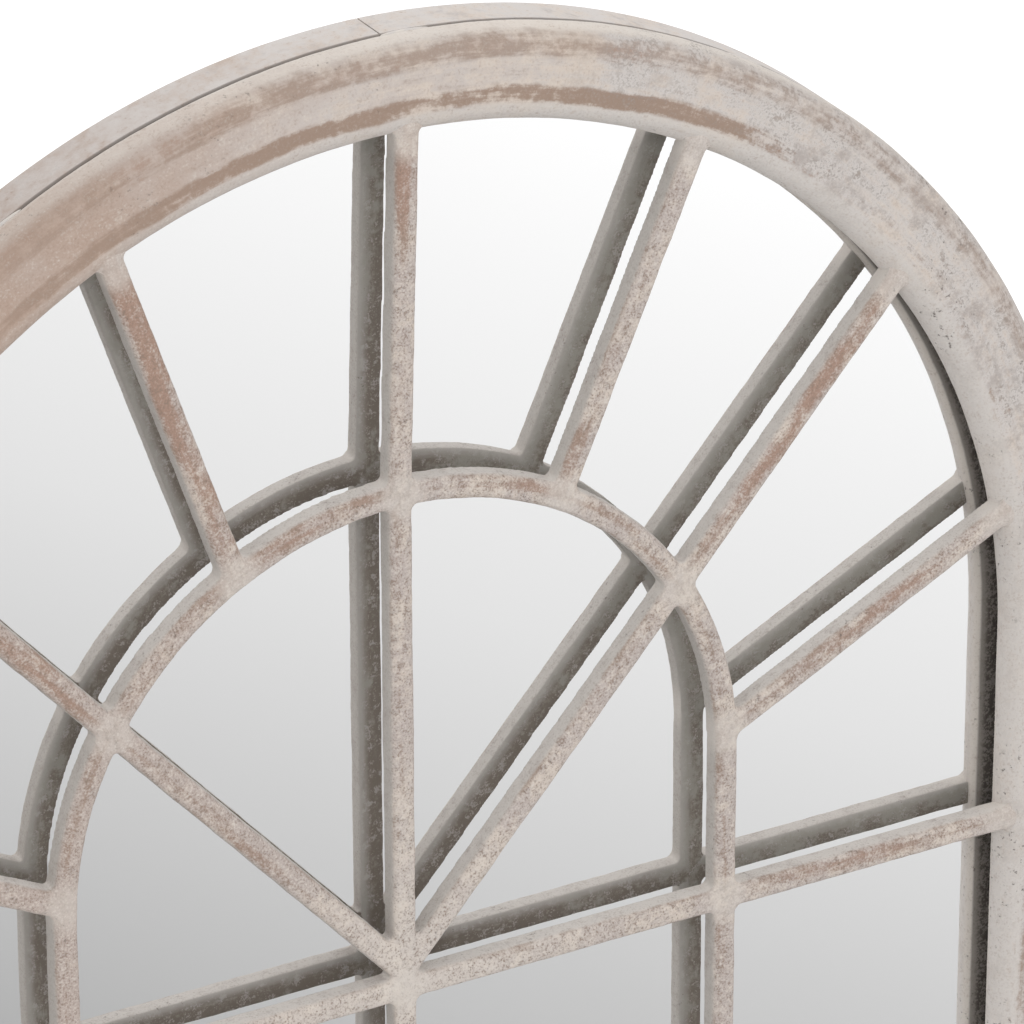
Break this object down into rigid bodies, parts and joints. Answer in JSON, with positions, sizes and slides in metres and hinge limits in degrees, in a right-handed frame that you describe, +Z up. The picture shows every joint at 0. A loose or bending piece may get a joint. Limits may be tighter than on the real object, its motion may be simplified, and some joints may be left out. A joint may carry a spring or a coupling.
{
  "type": "garden mirror",
  "caption": "Arched window-style garden mirror: moulded metal frame, sunburst glazing bars over one mirror pane, backing board held by turn buttons, keyhole wall hangers.",
  "frame": {"origin": "midway between the two keyhole hangers, on the back plane of the rim, level with the upper transom", "axes": "+X to the right seen from the front, +Y into the wall, +Z up; the mirror faces -Y"},
  "size_m": [0.7508, 0.04, 1.4008],
  "materials": {
    "distressed_paint": "matte rubbed whitewash over brown metal",
    "back_paint": "matte primer",
    "mirror": "silvered glass",
    "gasket_foam": "closed-cell foam",
    "hardboard": "hardboard",
    "zinc": "zinc plated"
  },
  "bodies": {
    "frame": {"front_arch_moulding": "distressed_paint", "front_left_moulding": "distressed_paint", "front_right_moulding": "distressed_paint", "front_bottom_moulding": "distressed_paint", "back_rim_left": "distressed_paint", "back_rim_right": "distressed_paint", "back_rim_bottom": "distressed_paint", "grille_welds": "distressed_paint", "rim_tack_welds": "distressed_paint", "inner_arch_bar": "distressed_paint", "left_leg_bar": "distressed_paint", "right_leg_bar": "distressed_paint", "upper_mullion": "distressed_paint", "lower_mullion": "distressed_paint", "diagonal_left": "distressed_paint", "diagonal_right": "distressed_paint", "spoke_right_steep": "distressed_paint", "spoke_right_middle": "distressed_paint", "spoke_right_low": "distressed_paint", "spoke_left_low": "distressed_paint", "spoke_left_middle": "distressed_paint", "spoke_left_steep": "distressed_paint", "transom_upper_far_left": "distressed_paint", "transom_upper_near_left": "distressed_paint", "transom_upper_near_right": "distressed_paint", "transom_upper_far_right": "distressed_paint", "transom_middle_far_left": "distressed_paint", "transom_middle_near_left": "distressed_paint", "transom_middle_near_right": "distressed_paint", "transom_middle_far_right": "distressed_paint", "transom_lower_far_left": "distressed_paint", "transom_lower_near_left": "distressed_paint", "transom_lower_near_right": "distressed_paint", "transom_lower_far_right": "distressed_paint", "mirror_glass": "mirror", "glazing_gasket": "gasket_foam", "backing_board": "hardboard", "button_blocks": "back_paint", "pivot_screws": "zinc", "hanger_left": "back_paint", "hanger_right": "back_paint"},
    "turn_button_1": {"turn_button_1": "zinc"},
    "turn_button_2": {"turn_button_2": "zinc"},
    "turn_button_3": {"turn_button_3": "zinc"},
    "turn_button_4": {"turn_button_4": "zinc"},
    "turn_button_5": {"turn_button_5": "zinc"},
    "turn_button_6": {"turn_button_6": "zinc"},
    "turn_button_7": {"turn_button_7": "zinc"},
    "turn_button_8": {"turn_button_8": "zinc"}
  },
  "joints": [
    {"name": "turn_button_1_pivot", "type": "hinge", "parent": "frame", "child": "turn_button_1", "pos_m": [0.36525, -0.00815, -0.2495], "axis": [0, 1, 0], "range_deg": [-90, 90]},
    {"name": "turn_button_2_pivot", "type": "hinge", "parent": "frame", "child": "turn_button_2", "pos_m": [-0.36525, -0.00815, -0.2495], "axis": [0, 1, 0], "range_deg": [-90, 90]},
    {"name": "turn_button_3_pivot", "type": "hinge", "parent": "frame", "child": "turn_button_3", "pos_m": [0.36525, -0.00815, -0.7005], "axis": [0, 1, 0], "range_deg": [-90, 90]},
    {"name": "turn_button_4_pivot", "type": "hinge", "parent": "frame", "child": "turn_button_4", "pos_m": [-0.36525, -0.00815, -0.7005], "axis": [0, 1, 0], "range_deg": [-90, 90]},
    {"name": "turn_button_5_pivot", "type": "hinge", "parent": "frame", "child": "turn_button_5", "pos_m": [0.2095, -0.00815, 0.3982], "axis": [0, 1, 0], "range_deg": [-90, 90]},
    {"name": "turn_button_6_pivot", "type": "hinge", "parent": "frame", "child": "turn_button_6", "pos_m": [-0.2095, -0.00815, 0.3982], "axis": [0, 1, 0], "range_deg": [-90, 90]},
    {"name": "turn_button_7_pivot", "type": "hinge", "parent": "frame", "child": "turn_button_7", "pos_m": [-0.1875, -0.00815, -0.91625], "axis": [0, 1, 0], "range_deg": [-90, 90]},
    {"name": "turn_button_8_pivot", "type": "hinge", "parent": "frame", "child": "turn_button_8", "pos_m": [0.1875, -0.00815, -0.91625], "axis": [0, 1, 0], "range_deg": [-90, 90]}
  ]
}
